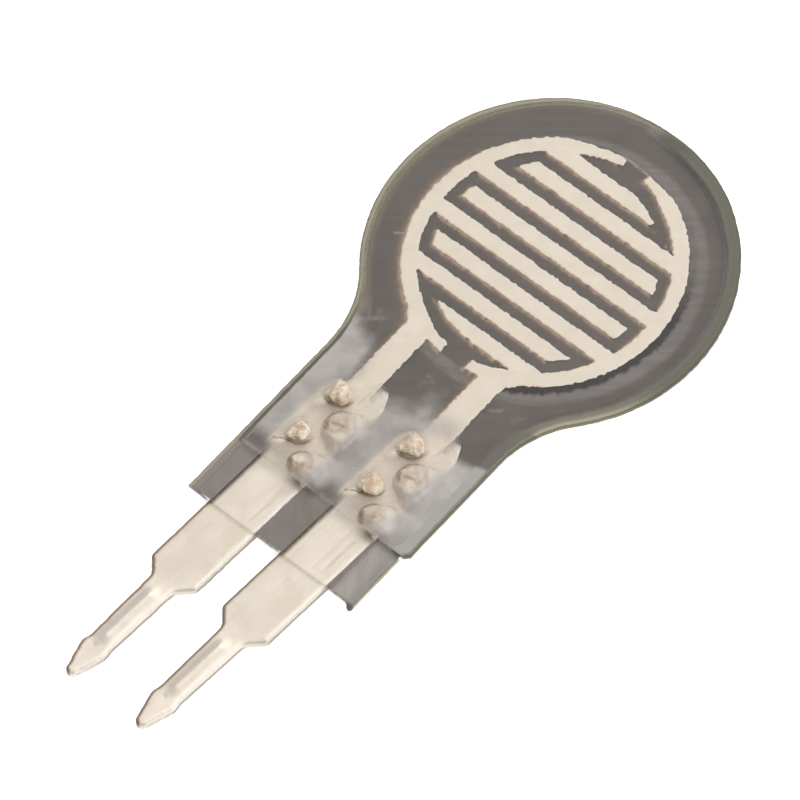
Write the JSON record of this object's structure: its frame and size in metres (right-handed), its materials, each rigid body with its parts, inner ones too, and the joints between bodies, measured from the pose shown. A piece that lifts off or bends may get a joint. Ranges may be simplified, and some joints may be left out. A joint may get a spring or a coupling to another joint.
{
  "type": "force sensing resistor",
  "caption": "Thin round membrane force sensor with a short tail: interleaved silver electrodes between clear films, and two crimped flat pin contacts.",
  "frame": {"origin": "centre of the active ring, on the flat rear face of the laminate", "axes": "+Z towards the sensing side, +Y from the tail to the top of the round head, +X to the right seen from the sensing side"},
  "size_m": [0.0102, 0.0221, 0.0009],
  "materials": {
    "rear_film": "clear polyester film, glossy, olive at its cut edge",
    "front_film": "clear polyester film, glossy, hazy round the claws",
    "sensing_ink": "dark grey printed carbon ink, even and matte",
    "spacer_adhesive": "clear adhesive",
    "silver_trace": "printed silver ink, pale warm grey, matte",
    "contact_metal": "tin-plated strip, pale warm grey, satin"
  },
  "bodies": {
    "root": {"rear_film": "rear_film", "sensing_ink": "sensing_ink", "spacer_adhesive": "spacer_adhesive", "electrode_left": "silver_trace", "electrode_right": "silver_trace", "front_film": "front_film", "contact_left": "contact_metal", "contact_right": "contact_metal"}
  },
  "joints": []
}
